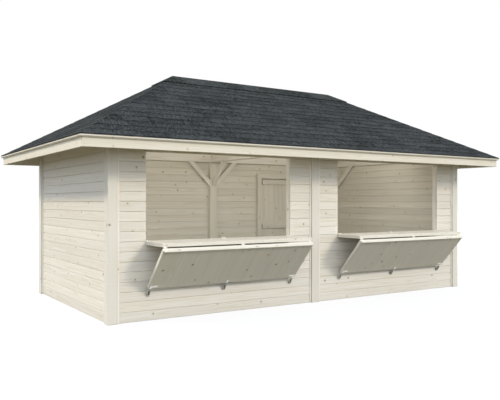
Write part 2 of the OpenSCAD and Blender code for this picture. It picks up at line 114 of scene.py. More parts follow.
class Signal:
    """A node's output socket that takes part in arithmetic."""

    def __init__(self, tree: "ShaderTree", socket: bpy.types.NodeSocket) -> None:
        """Keeps the tree and the socket."""
        self.tree = tree
        self.socket = socket

    def _math(self, operation: str, first: Operand, second: Operand = 0.0) -> "Signal":
        """One Math node of the two values."""
        values = {"Value": first, "Value_001": second}
        return self.tree.add("ShaderNodeMath", {"operation": operation}, values)

    def __add__(self, other: Operand) -> "Signal":
        """Sum."""
        return self._math("ADD", self, other)

    def __radd__(self, other: Operand) -> "Signal":
        """Sum with a number in front."""
        return self._math("ADD", other, self)

    def __sub__(self, other: Operand) -> "Signal":
        """Difference."""
        return self._math("SUBTRACT", self, other)

    def __rsub__(self, other: Operand) -> "Signal":
        """Difference from a number."""
        return self._math("SUBTRACT", other, self)

    def __mul__(self, other: Operand) -> "Signal":
        """Product."""
        return self._math("MULTIPLY", self, other)

    def __rmul__(self, other: Operand) -> "Signal":
        """Product with a number in front."""
        return self._math("MULTIPLY", other, self)

    def __truediv__(self, other: Operand) -> "Signal":
        """Quotient."""
        return self._math("DIVIDE", self, other)

    def __rtruediv__(self, other: Operand) -> "Signal":
        """A number over this."""
        return self._math("DIVIDE", other, self)

    def __pow__(self, other: Operand) -> "Signal":
        """Power."""
        return self._math("POWER", self, other)

    def __rpow__(self, other: Operand) -> "Signal":
        """Power of a number."""
        return self._math("POWER", other, self)

    def __lt__(self, other: Operand) -> "Signal":
        """One where this is the smaller, else zero."""
        return self._math("LESS_THAN", self, other)

    def larger(self, other: Operand) -> "Signal":
        """The larger of the two."""
        return self._math("MAXIMUM", self, other)

    def sine(self) -> "Signal":
        """Sine of an angle in radians."""
        return self._math("SINE", self)

    def root(self) -> "Signal":
        """Square root."""
        return self._math("SQRT", self)

    def ramp(self, start: float, end: float) -> "Signal":
        """Smooth step between two values.

        Args:
            start: where the step is 0; it may be the larger.
            end: where the step is 1.

        Returns:
            The step.
        """
        low, high = sorted((start, end))
        step = self.tree.add(
            "ShaderNodeMapRange", {"interpolation_type": "SMOOTHSTEP"},
            {"Value": self, "From Min": low, "From Max": high}, "Result")
        return step if start < end else 1.0 - step

    def parts(self) -> tuple["Signal", "Signal", "Signal"]:
        """The three numbers of a vector."""
        split = partial(self.tree.add, "ShaderNodeSeparateXYZ", {}, {"Vector": self})
        return split("X"), split("Y"), split("Z")

    def scaled(self, by: Sequence[float]) -> "Signal":
        """A vector stretched along each of its axes."""
        values = {"Vector": self, "Vector_001": tuple(by)}
        return self.tree.add("ShaderNodeVectorMath", {"operation": "MULTIPLY"}, values)


class ShaderTree:
    """The nodes of one material, or of the world."""

    def __init__(self, holder: Union[bpy.types.Material, bpy.types.World]) -> None:
        """Empties the nodes of a new material or world.

        Args:
            holder: the material or the world.
        """
        holder.use_nodes = True
        self.holder = holder
        self.nodes = holder.node_tree.nodes
        self.links = holder.node_tree.links
        self.nodes.clear()

    @staticmethod
    def _find(sockets: Any, key: Union[str, int]) -> bpy.types.NodeSocket:
        """Finds a socket of a node.

        Args:
            sockets: the node's inputs or outputs.
            key: the socket's place, its identifier or its name.

        Returns:
            The socket.
        """
        if isinstance(key, int):
            return sockets[key]
        return next((s for s in sockets if s.identifier == key), None) or sockets[key]

    def add(self, kind: str, settings: dict[str, Any], sockets: dict[str, Any],
            output: Union[str, int] = 0) -> Signal:
        """Adds any node.

        Args:
            kind: the node's type.
            settings: its properties, set before its sockets.
            sockets: values or signals by socket.
            output: the output that is wanted.

        Returns:
            That output as a signal.
        """
        node = self.nodes.new(kind)
        for name, value in settings.items():
            setattr(node, name, value)
        for name, value in sockets.items():
            socket = self._find(node.inputs, name)
            if isinstance(value, Signal):
                self.links.new(value.socket, socket)
            else:
                socket.default_value = value
        return Signal(self, self._find(node.outputs, output))

    def mix(self, share: Operand, first: Any, second: Any, blend: str = "MIX") -> Signal:
        """Mixes two colours.

        Args:
            share: how much of the second colour shows.
            first, second: colours or signals.
            blend: the blend type.

        Returns:
            The mixed colour.
        """
        settings = {"data_type": "RGBA", "blend_type": blend}
        sockets = {"Factor_Float": share, "A_Color": first, "B_Color": second}
        return self.add("ShaderNodeMix", settings, sockets, "Result_Color")

    def noise(self, at: Signal, scale: float, detail: float) -> Signal:
        """Smooth noise from 0 to 1 at a point."""
        sockets = {"Vector": at, "Scale": scale, "Detail": detail}
        return self.add("ShaderNodeTexNoise", {}, sockets, "Fac")

    def attribute(self, name: str, output: str) -> Signal:
        """A value that the mesh carries."""
        return self.add("ShaderNodeAttribute", {"attribute_name": name}, {}, output)

    def point(self) -> Signal:
        """The place on the object."""
        return self.add("ShaderNodeTexCoord", {}, {}, "Object")

    def bump(self, height: Signal, strength: float, depth: float) -> Signal:
        """A normal that follows a height."""
        sockets = {"Strength": strength, "Distance": depth, "Height": height}
        return self.add("ShaderNodeBump", {}, sockets, "Normal")

    def seen(self) -> Signal:
        """Tells the rays that show the background from those that light the stall.

        Returns:
            One for rays from the camera, off a mirror and through glass, else zero.
        """
        path = partial(self.add, "ShaderNodeLightPath", {}, {})
        straight = path("Is Camera Ray").larger(path("Is Glossy Ray"))
        return straight.larger(path("Is Transmission Ray"))

    def layer(self, share: Operand, first: Signal, second: Signal) -> Signal:
        """Mixes two shaders; share is how much of the second shows."""
        sockets = {"Fac": share, "Shader": first, "Shader_001": second}
        return self.add("ShaderNodeMixShader", {}, sockets)

    def principled(self, sockets: dict[str, Any]) -> bpy.types.Material:
        """Closes the material with one principled shader.

        Args:
            sockets: values or signals by socket.

        Returns:
            The material.
        """
        self.show(self.add("ShaderNodeBsdfPrincipled", {}, sockets), "ShaderNodeOutputMaterial")
        return self.holder

    def show(self, shader: Signal, kind: str) -> None:
        """Sends a shader to an output node of the given type."""
        output = self.nodes.new(kind)
        self.links.new(shader.socket, output.inputs["Surface"])


@dataclass(frozen=True)
class WoodFinish:
    """Planed, untreated spruce: pale boards with faint rings, streaks and brown knots."""

    name: str
    slot: Slot
    pale: Colour
    honey: Colour
    latewood: Colour = srgb(198, 178, 144)
    knot_rim: Colour = srgb(122, 110, 88)
    knot_heart: Colour = srgb(156, 142, 116)
    ring_pitch: float = 0.0062
    ring_share: float = 0.26
    ring_least: float = 0.4
    ring_sharpness: float = 2.5
    ring_wander: float = 0.03
    ring_swell: float = 0.012
    wander_stretch: Triple = (0.9, 5.0, 5.0)
    cloud_stretch: Triple = (2.0, 6.0, 6.0)
    streak_stretch: Triple = (0.8, 22.0, 22.0)
    streak_edges: Span = (0.32, 0.72)
    streak_share: float = 0.55
    fibre_stretch: Triple = (9.0, 420.0, 420.0)
    fibre_share: float = 0.10
    tone_share: float = 0.05
    knots_per_metre: float = 4.6
    knot_scatter: float = 0.9
    knot_share: float = 0.27
    knot_radius: float = 0.0085
    knot_girths: Span = (1.3, 0.4)
    knot_edges: Span = (1.0, 0.72)
    heart_edges: Span = (0.62, 0.3)
    halo_edge: float = 4.0
    ragged_scale: float = 140.0
    ragged_share: float = 0.5
    halo_tint: float = 0.45
    knot_tint: float = 0.82
    heart_tint: float = 0.7
    roughness: float = 0.62
    fibre_roughness: float = 0.25
    knot_polish: float = 0.12
    specular: float = 0.3
    fibre_relief: float = 0.5
    ring_relief: float = 0.5
    knot_relief: float = 0.6
    relief_strength: float = 0.35
    relief_depth: float = 0.0008

    def knots(self, tree: ShaderTree, grain: Signal) -> tuple[Signal, Signal, Signal]:
        """Scatters knots over the boards.

        Args:
            tree: the material's nodes.
            grain: the point in the board's own space.

        Returns:
            The knot, its heart and the halo round it, each from 0 to 1.
        """
        along, across, deep = grain.parts()
        face = tree.add("ShaderNodeCombineXYZ", {}, {"X": along, "Y": across + deep})
        cells = partial(
            tree.add, "ShaderNodeTexVoronoi", {"voronoi_dimensions": "2D", "feature": "F1"},
            {"Vector": face, "Scale": self.knots_per_metre, "Randomness": self.knot_scatter})
        distance = cells("Distance")
        lot, girth, _ = cells("Color").parts()
        chosen = lot < self.knot_share
        radius = self.knot_radius * self.knots_per_metre
        fray = (tree.noise(grain, self.ragged_scale, 2.0) - 0.5) * (self.ragged_share * radius)
        spread, least = self.knot_girths
        ragged = (distance + fray) / (girth * spread + least)
        knot, heart = (chosen * ragged.ramp(start * radius, end * radius)
                       for start, end in (self.knot_edges, self.heart_edges))
        return knot, heart, chosen * distance.ramp(self.halo_edge * radius, 0.0)

    def rings(self, tree: ShaderTree, grain: Signal, halo: Signal) -> Signal:
        """The dark lines of the year rings, which swell round a knot.

        Args:
            tree: the material's nodes.
            grain: the point in the board's own space.
            halo: how near a knot is.

        Returns:
            The lines, from 0 to 1.
        """
        _, across, deep = grain.parts()
        wander = tree.noise(grain.scaled(self.wander_stretch), 1.0, 2.0) - 0.5
        centre = (across * across + deep * deep).root()
        shifted = centre + wander * self.ring_wander + halo * self.ring_swell
        turns = shifted * (2.0 * math.pi / self.ring_pitch)
        return (turns.sine() * 0.5 + 0.5) ** self.ring_sharpness

    @cache
    def material(self) -> bpy.types.Material:
        """Builds the finish once.

        Returns:
            The material that every board of this finish shares.
        """
        tree = ShaderTree(bpy.data.materials.new(self.name))
        grain = tree.attribute("grain", "Vector")
        tone = tree.attribute("tone", "Fac")
        knot, heart, halo = self.knots(tree, grain)
        ring = self.rings(tree, grain, halo)
        streak = tree.noise(grain.scaled(self.streak_stretch), 1.0, 3.0).ramp(*self.streak_edges)
        fibre = tree.noise(grain.scaled(self.fibre_stretch), 1.0, 2.0)
        cloud = tree.noise(grain.scaled(self.cloud_stretch), 1.0, 2.0)

        colour = tree.mix(streak * self.streak_share, self.pale, self.honey)
        lines = ring * (self.ring_share * (self.ring_least + cloud))
        colour = tree.mix(lines, colour, self.latewood)
        colour = tree.mix(halo * self.halo_tint, colour, self.latewood)
        colour = tree.mix(knot * self.knot_tint, colour, self.knot_rim)
        colour = tree.mix(heart * self.heart_tint, colour, self.knot_heart)
        level = (tone - 0.5) * (2.0 * self.tone_share) + (fibre - 0.5) * self.fibre_share
        level = level + (1.0 - 0.5 * self.tone_share)
        grey = tree.add("ShaderNodeCombineColor", {}, {"Red": level, "Green": level, "Blue": level})
        colour = tree.mix(1.0, colour, grey, "MULTIPLY")

        rough = self.roughness + (fibre - 0.5) * self.fibre_roughness - knot * self.knot_polish
        height = fibre * self.fibre_relief + ring * self.ring_relief - knot * self.knot_relief
        return tree.principled({
            "Base Color": colour,
            "Roughness": rough,
            "Specular IOR Level": self.specular,
            "Normal": tree.bump(height, self.relief_strength, self.relief_depth),
        })


@dataclass(frozen=True)
class ShingleFinish:
    """Bitumen shingles: granules, each tab of its own tone, with a dark band at its head, printed
    as on laminated shingles and also painted shade under the butt of the course above.
    """

    name: str
    slot: Slot
    dark: Colour
    light: Colour
    granule: Colour
    cloud_scale: float = 2.3
    cloud_share: float = 0.25
    patch_scale: float = 21.0
    patch_edges: Span = (0.36, 0.66)
    patch_share: float = 0.2
    patch_relief: float = 0.6
    fleck_stretch: Triple = (62.0, 20.0, 20.0)
    fleck_edges: Span = (0.4, 0.62)
    fleck_share: float = 0.55
    granule_scale: float = 330.0
    granule_edges: Span = (0.56, 0.70)
    granule_share: float = 0.6
    tone_share: float = 0.36
    print_and_shade_band_edges: Span = (0.012, 0.034)
    print_and_shade_band_share: float = 0.0
    roughness: float = 0.94
    granule_polish: float = 0.16
    specular: float = 0.04
    relief_strength: float = 0.6
    relief_depth: float = 0.0016

    @cache
    def material(self) -> bpy.types.Material:
        """Builds the finish once.

        Returns:
            The material that every tab of this finish shares.
        """
        tree = ShaderTree(bpy.data.materials.new(self.name))
        point = tree.point()
        grain = tree.attribute("grain", "Vector")
        tone = tree.attribute("tone", "Fac")
        cloud = tree.noise(point, self.cloud_scale, 3.0)
        patch = tree.noise(point, self.patch_scale, 3.0).ramp(*self.patch_edges)
        grit = tree.noise(point, self.granule_scale, 2.0)
        speck = grit.ramp(*self.granule_edges)
        fleck = tree.noise(grain.scaled(self.fleck_stretch), 1.0, 2.0).ramp(*self.fleck_edges)
        # The dark band at each tab's head: the print of laminated shingles, and painted shade under
        # the butt of the course above.
        print_and_shade_band = tree.attribute("across", "Fac").ramp(*self.print_and_shade_band_edges)
        blend = patch * self.patch_share + cloud * self.cloud_share + fleck * self.fleck_share
        blend = blend + (tone - 0.5) * self.tone_share - print_and_shade_band * self.print_and_shade_band_share
        colour = tree.mix(blend, self.dark, self.light)
        colour = tree.mix(speck * self.granule_share, colour, self.granule)
        height = grit + patch * self.patch_relief
        return tree.principled({
            "Base Color": colour,
            "Roughness": self.roughness - speck * self.granule_polish,
            "Specular IOR Level": self.specular,
            "Normal": tree.bump(height, self.relief_strength, self.relief_depth),
        })


@dataclass(frozen=True)
class MetalFinish:
    """Plated or painted fittings with handling marks."""

    name: str
    slot: Slot
    base: Colour
    stain: Colour
    metallic: float
    roughness: float
    stain_scale: float = 90.0
    stain_edges: Span = (0.35, 0.7)
    stain_share: float = 0.6
    stain_roughness: float = 0.12
    stain_relief: float = 0.4
    scuff_stretch: Triple = (60.0, 60.0, 900.0)
    scuff_roughness: float = 0.2
    scuff_relief: float = 0.3
    relief_strength: float = 0.15
    relief_depth: float = 0.0004

    @cache
    def material(self) -> bpy.types.Material:
        """Builds the finish once.

        Returns:
            The material that every fitting of this finish shares.
        """
        tree = ShaderTree(bpy.data.materials.new(self.name))
        point = tree.point()
        spangle = tree.noise(point, self.stain_scale, 3.0).ramp(*self.stain_edges)
        scuff = tree.noise(point.scaled(self.scuff_stretch), 1.0, 2.0)
        dulled = self.roughness + spangle * self.stain_roughness
        height = spangle * self.stain_relief + scuff * self.scuff_relief
        return tree.principled({
            "Base Color": tree.mix(spangle * self.stain_share, self.base, self.stain),
            "Metallic": self.metallic,
            "Roughness": dulled + (scuff - 0.5) * self.scuff_roughness,
            "Normal": tree.bump(height, self.relief_strength, self.relief_depth),
        })


Finish = Union[WoodFinish, ShingleFinish, MetalFinish]

PLANK = WoodFinish("plank_spruce", Slot.PLANKS, srgb(228, 224, 213), srgb(217, 210, 193))
TIMBER = WoodFinish("frame_spruce", Slot.FRAME, srgb(223, 220, 209), srgb(214, 208, 193),
                    tone_share=0.03)
# A paler copy of the frame spruce: painted light, which makes the beams, braces, jamb studs and
# corner battens read brighter than the posts and planks.
BEAM_PAINTED_LIGHT = WoodFinish("beam_spruce_painted_light", Slot.FRAME, srgb(240, 235, 227), srgb(232, 225, 213),
                  tone_share=0.02)
EAVE = WoodFinish("eave_spruce", Slot.ROOF_WOOD, srgb(222, 217, 202), srgb(212, 204, 184),
                  tone_share=0.03)
HATCH = WoodFinish("hatch_spruce", Slot.HATCH, srgb(228, 224, 211), srgb(219, 212, 194),
                   tone_share=0.02, streak_share=0.3)
# A darker copy of the hatch spruce, with more and larger knots: the darkening is painted shade on
# the propping panels, whose outer faces look down.
PANEL_PAINTED_SHADE = WoodFinish("panel_spruce_painted_shade", Slot.HATCH, srgb(217, 215, 202), srgb(207, 203, 186),
                   tone_share=0.02, streak_share=0.4,
                   knots_per_metre=5.0, knot_share=0.3, knot_radius=0.011)
CAP = ShingleFinish("ridge_shingle", Slot.SHINGLES,
                    srgb(10, 14, 14), srgb(60, 65, 65), srgb(108, 113, 113))
# The band at each tab's head is print and also painted shade under the course above.
SHINGLE = ShingleFinish("roof_shingle", Slot.SHINGLES,
                        srgb(10, 13, 14), srgb(61, 65, 67), srgb(109, 114, 114), print_and_shade_band_share=0.17)
ZINC = MetalFinish("zinc_plate", Slot.STEEL, srgb(238, 238, 234), srgb(214, 213, 208),
                   metallic=0.85, roughness=0.3)
HINGE = MetalFinish("bright_hinge", Slot.STEEL, srgb(240, 238, 230), srgb(222, 220, 212),
                    metallic=0.15, roughness=0.4)
STEEL = MetalFinish("dull_steel", Slot.STEEL, srgb(190, 188, 181), srgb(168, 166, 158),
                    metallic=0.4, roughness=0.5)
IRON = MetalFinish("dark_iron", Slot.IRON, srgb(104, 101, 90), srgb(82, 79, 70),
                   metallic=0.3, roughness=0.5)


def trim(part: BMesh, cut: Plane) -> None:
    """Cuts a closed solid at a plane and closes the cut.

    Args:
        part: the solid.
        cut: a point of the plane and the way out of the piece.
    """
    point, outward = cut
    geometry = [*part.verts, *part.edges, *part.faces]
    result = bmesh.ops.bisect_plane(part, geom=geometry, dist=CUT_GAP, plane_co=point,
                                    plane_no=outward, clear_outer=True)
    rim = [item for item in result["geom_cut"] if isinstance(item, BMEdge)]
    if rim and part.faces:
        bmesh.ops.edgeloop_fill(part, edges=rim)
        bmesh.ops.recalc_face_normals(part, faces=part.faces)


def chamfer(part: BMesh, edges: Sequence[BMEdge], width: float) -> None:
    """Eases edges of a solid."""
    bmesh.ops.bevel(part, geom=list(edges), offset=width, offset_type="OFFSET", segments=1,
                    profile=0.5, affect="EDGES", clamp_overlap=True, material=-1)


def basis(length: Vector, width: Vector) -> Matrix:
    """A right-handed turn whose first two axes are the given directions."""
    return Matrix((length, width, length.cross(width))).transposed().to_4x4()


class Solid:
    """One closed solid of a CAD node, merged, with the box that fits round it."""

    def __init__(self, part: BMesh) -> None:
        """Measures the solid along its own edges.

        Args:
            part: the merged solid, which this object then owns.
        """
        self.part = part
        runs = [edge.verts[1].co - edge.verts[0].co for edge in part.edges]
        runs.sort(key=lambda run: -run.length)
        length = runs[0].normalized()
        square = (run for run in runs if abs(run.normalized().dot(length)) < SQUARE_DOT)
        turn = basis(length, next(square).normalized())
        local = [turn.transposed() @ vert.co for vert in part.verts]
        low = Vector(min(point[i] for point in local) for i in range(3))
        high = Vector(max(point[i] for point in local) for i in range(3))
        self.size = high - low
        self.place = Matrix.Translation(turn @ ((low + high) / 2)) @ turn

    def corners(self) -> tuple[Vector, Vector]:
        """Measures the solid along the frame's axes.

        Returns:
            Its lowest and its highest corner.
        """
        points = [vert.co for vert in self.part.verts]
        return (Vector(min(p[i] for p in points) for i in range(3)),
                Vector(max(p[i] for p in points) for i in range(3)))


def solids(node: str) -> Iterator[Solid]:
    """Gives each solid of a CAD node as a copy with its triangles joined into flat faces.

    Args:
        node: the node's name.

    Returns:
        The solids, in the order of their vertices.
    """
    whole = bmesh.new()
    whole.from_mesh(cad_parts[node].data)
    bmesh.ops.remove_doubles(whole, verts=whole.verts, dist=MERGE_GAP)
    bmesh.ops.dissolve_limit(whole, angle_limit=FLAT_ANGLE, verts=whole.verts, edges=whole.edges)
    whole.verts.index_update()
    unseen = set(range(len(whole.verts)))
    whole.verts.ensure_lookup_table()
    while unseen:
        island = reach(whole.verts[min(unseen)])
        unseen -= island
        part = whole.copy()
        strangers = [vert for vert in part.verts if vert.index not in island]
        bmesh.ops.delete(part, geom=strangers, context="VERTS")
        yield Solid(part)
    whole.free()


def reach(start: BMVert) -> set[int]:
    """Follows the edges from one vertex.

    Args:
        start: the vertex.

    Returns:
        The numbers of all the vertices that the edges lead to, with its own.
    """
    found, queue = {start.index}, [start]
    while queue:
        for edge in queue.pop().link_edges:
            for vert in edge.verts:
                if vert.index not in found:
                    found.add(vert.index)
                    queue.append(vert)
    return found


class Joinery:
    """A piece made of boards, gathered into one mesh and handed over with its finish."""

    LOG_LENGTH = 30.0
    PITH_REACH = 0.16
    PITH_SIDE = 0.3
    PITH_NEAR = 0.25
    NAIL_SIDES = 8
    NAIL_TAPER = 0.7

    def __init__(self, name: str, finish: Finish) -> None:
        """Starts an empty piece.

        Args:
            name: the piece's name, which also seeds its random draws.
            finish: what all its boards are finished with.
        """
        self.name = name
        self.finish = finish
        self.whole = bmesh.new()
        self.dice = random.Random(name)

    def take(self, part: BMesh, place: Matrix) -> None:
        """Stamps grain, tone and distance across on a shaped board and adds it.

        Args:
            part: the board, in place; it is used up.
            place: the board's own space, X along the fibres.
        """
        grain = part.verts.layers.float_vector.new("grain")
        tone = part.verts.layers.float.new("tone")
        across = part.verts.layers.float.new("across")
        board_space = place.inverted()
        pith = Vector((self.dice.uniform(0.0, self.LOG_LENGTH),
                       self.dice.uniform(-self.PITH_SIDE, self.PITH_SIDE) * self.PITH_REACH,
                       self.dice.uniform(self.PITH_NEAR, 1.0) * self.PITH_REACH))
        level = self.dice.random()
        for vert in part.verts:
            point = board_space @ vert.co
            vert[grain] = point + pith
            vert[tone] = level
            vert[across] = point.y
        scratch = bpy.data.meshes.new("board")
        part.to_mesh(scratch)
        part.free()
        self.whole.from_mesh(scratch)
        bpy.data.meshes.remove(scratch)

    def board(self, size: Vector, place: Matrix, ease: float, all_edges: bool = True,
              cuts: Sequence[Plane] = ()) -> None:
        """Adds one sawn board.

        Args:
            size: length along the fibres, width and thickness.
            place: where its middle sits.
            ease: width of the chamfer on its edges.
            all_edges: False leaves the ends square.
            cuts: planes that trim it once it is in place.
        """
        part = bmesh.new()
        bmesh.ops.create_cube(part, size=1.0, matrix=Matrix.Diagonal((*size, 1.0)))
        edges = [e for e in part.edges if all_edges or e.verts[0].co.x * e.verts[1].co.x < 0.0]
        chamfer(part, edges, ease)
        bmesh.ops.transform(part, matrix=place, verts=part.verts)
        for cut in cuts:
            trim(part, cut)
        if part.faces:
            self.take(part, place)
        else:
            part.free()

    def take_eased(self, solid: Solid, ease: float) -> None:
        """Eases the sharp edges of a CAD solid and adds it.

        Args:
            solid: the solid; it is used up.
            ease: width of the chamfer.
        """
        sharp = [e for e in solid.part.edges if e.calc_face_angle(0.0) > SHARP_ANGLE]
        chamfer(solid.part, sharp, ease)
        self.take(solid.part, solid.place)

    def pin(self, at: Vector, turn: Matrix, radius: float, height: float) -> None:
        """Adds a nail head.

        Args:
            at: the middle of its seat.
            turn: its Z axis points out of the wood.
            radius, height: its size.
        """
        part = bmesh.new()
        place = Matrix.Translation(at) @ turn @ Matrix.Translation((0.0, 0.0, 0.5 * height))
        bmesh.ops.create_cone(part, cap_ends=True, segments=self.NAIL_SIDES, radius1=radius,
                              radius2=self.NAIL_TAPER * radius, depth=height, matrix=place)
        self.take(part, place)

    def hand_over(self, body: str, *nodes: str) -> None:
        """Makes the object, dresses it and sets it on its body.

        Args:
            body: the CAD body that it rides on.
            nodes: the CAD nodes that it stands for.
        """
        mesh = bpy.data.meshes.new(self.name)
        self.whole.to_mesh(mesh)
        self.whole.free()
        if "custom_normal" in mesh.attributes:
            mesh.attributes.remove(mesh.attributes["custom_normal"])
        mesh.materials.clear()
        mesh.materials.append(self.finish.material())
        mesh.polygons.foreach_set("material_index", [0] * len(mesh.polygons))
        piece = bpy.data.objects.new(self.name, mesh)
        bpy.context.scene.collection.objects.link(piece)
        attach(piece, body)
        if nodes:
            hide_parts(*nodes)
        log.info("%s: %d faces on %s", self.name, len(mesh.polygons), body)


def dress(node: str, kind: str, finish: Finish, ease: float, body: str = STALL) -> None:
    """Eases the edges of a CAD node's solids and hands them over as one piece.

    Args:
        node: the node's name.
        kind: the last word of the piece's name.
        finish: what the piece is finished with.
        ease: width of the eased edges.
        body: the CAD body that it rides on.
    """
    piece = Joinery(f"{node}_{kind}", finish)
    for solid in solids(node):
        piece.take_eased(solid, ease)
    piece.hand_over(body, node)


@dataclass
class TimberFrame:
    """Posts, beams, braces, studs, rails and corner battens."""

    post_ease: float = 0.004
    trim_ease: float = 0.002
    posts: tuple[str, ...] = ("front_posts", "back_posts")
    beams: tuple[str, ...] = ("long_beams", "side_beams", "tie_beam", "back_braces",
                              "cross_braces", "jamb_studs", "corner_battens")
    trims: tuple[str, ...] = ("sill_rails", "door_posts", "door_head")

    def build(self) -> None:
        """Dresses each timber."""
        # The beams, braces, studs and battens take the paler copy of the spruce, which is painted
        # light.
        groups = ((self.posts, TIMBER, self.post_ease),
                  (self.beams, BEAM_PAINTED_LIGHT, self.post_ease),
                  (self.trims, TIMBER, self.trim_ease))
        for nodes, finish, ease in groups:
            for node in nodes:
                dress(node, "timber", finish, ease)


@dataclass
class PlankWalls:
    """Tongue-and-groove plank walls with V joints at every course."""

    course: float = 0.115
    groove: float = 0.0045
    slit: float = 0.003
    tongue_thickness: float = 0.010
    tongue_height: float = 0.016
    tongue_ease: float = 0.0003
    nodes: tuple[str, ...] = (
        "left_wall", "right_wall", "back_left_wall", "back_door_piers", "back_over_door",
        "front_left_dado", "front_left_piers", "front_left_lintel",
        "front_right_dado", "front_right_piers", "front_right_lintel")

    def build(self) -> None:
        """Lays every wall."""
        for node in self.nodes:
            wall = Joinery(f"{node}_planks", PLANK)
            for solid in solids(node):
                self.lay(wall, *solid.corners())
                solid.part.free()
            wall.hand_over(STALL, node)

    def lay(self, wall: Joinery, low: Vector, high: Vector) -> None:
        """Lays the courses of one stretch of wall.

        Args:
            wall: the piece that takes the planks.
            low, high: corners of the stretch.
        """
        span = high - low
        turn = basis(X_AXIS if span.x > span.y else Y_AXIS, Z_AXIS)
        length, thickness = max(span.x, span.y), min(span.x, span.y)
        first = math.floor(low.z / self.course + MERGE_GAP)
        last = math.ceil(high.z / self.course - MERGE_GAP)
        for number in range(first, last):
            bottom = max(low.z, number * self.course)
            top = min(high.z, (number + 1) * self.course)
            middle = (low + high) / 2
            middle.z = (bottom + top) / 2
            size = Vector((length, top - bottom - self.slit, thickness))
            wall.board(size, Matrix.Translation(middle) @ turn, self.groove, all_edges=False)
            if number < last - 1:
                middle.z = top
                tongue = Vector((length, self.tongue_height, self.tongue_thickness))
                place = Matrix.Translation(middle) @ turn
                wall.board(tongue, place, self.tongue_ease, all_edges=False)


@dataclass
class BoardedPanel:
    """A flat panel of boards nailed to battens."""

    node: str
    run: Run
    body: str
    finish: WoodFinish
    boards: int
    ease: float
    nail_rows: tuple[float, ...]
    edge_nails: bool = False
    nail_radius: float = 0.0042
    nail_height: float = 0.0012

    def build(self) -> None:
        """Lays the boards side by side and nails them."""
        solid = next(solids(self.node))
        panel = Joinery(f"{self.node}_boards", self.finish)
        nails = Joinery(f"{self.node}_nails", STEEL)
        length, width, thickness = solid.size
        crosswise = self.run is Run.CROSSWISE
        pitch = (length if crosswise else width) / self.boards
        fibre_length = width if crosswise else length
        turn = Matrix.Rotation(math.pi / 2, 4, "Z") if crosswise else Matrix.Identity(4)
        for number in range(self.boards):
            shift = (number + 0.5) * pitch - 0.5 * pitch * self.boards
            offset = Vector((shift, 0.0, 0.0)) if crosswise else Vector((0.0, shift, 0.0))
            place = solid.place @ Matrix.Translation(offset) @ turn
            panel.board(Vector((fibre_length, pitch, thickness)), place, self.ease)
            facing = place.to_3x3().to_4x4()
            for row in self.nail_rows:
                seat = place @ Vector((row * fibre_length, 0.0, 0.5 * thickness))
                nails.pin(seat, facing, self.nail_radius, self.nail_height)
            if self.edge_nails:
                self.nail_edge(nails, place, fibre_length)
        solid.part.free()
        panel.hand_over(self.body, self.node)
        nails.hand_over(self.body)

    def nail_edge(self, nails: Joinery, place: Matrix, fibre_length: float) -> None:
        """Nails the end of a board that faces the front.

        Args:
            nails: the piece that takes the nail.
            place: the board's place.
            fibre_length: the board's length.
        """
        ends = [place @ Vector((hand * 0.5 * fibre_length, 0.0, 0.0)) for hand in HANDS]
        front = min(ends, key=lambda end: end.y)
        facing = (front - place.translation).to_track_quat("Z", "X").to_matrix().to_4x4()
        nails.pin(front, facing, self.nail_radius, self.nail_height)


@dataclass
class Hatch:
    """A folding hatch: the counter on the sill and the panel that props it."""

    side: str
    boards: int = 18
    board_ease: float = 0.0007
    batten_ease: float = 0.002
    counter_rows: tuple[float, ...] = (-0.42, 0.42)
    panel_rows: tuple[float, ...] = (-0.44, 0.44)

    def build(self) -> None:
        """Boards the two leaves and dresses their battens."""
        # The panels take the darker copy of the hatch spruce, which is painted shade.
        leaves = (("counter", HATCH, self.counter_rows), ("panel", PANEL_PAINTED_SHADE, self.panel_rows))
        for leaf, finish, rows in leaves:
            node, body = f"{self.side}_{leaf}", f"{self.side}_{leaf}_leaf"
            BoardedPanel(node, Run.CROSSWISE, body, finish, self.boards, self.board_ease, rows,
                         edge_nails=leaf == "counter").build()
            dress(f"{node}_battens", "timber", HATCH, self.batten_ease, body)


@dataclass
class BackDoor:
    """The boarded door in the back wall."""

    boards: int = 8
    joint_ease: float = 0.003
    ledge_ease: float = 0.004
    nail_rows: tuple[float, ...] = (-0.39, 0.01, 0.46)
    body: str = "door"

    def build(self) -> None:
        """Boards the leaf and dresses its ledges."""
        BoardedPanel("door_leaf", Run.LENGTHWISE, self.body, PLANK, self.boards, self.joint_ease,
                     self.nail_rows).build()
        dress("door_ledges", "timber", TIMBER, self.ledge_ease, self.body)


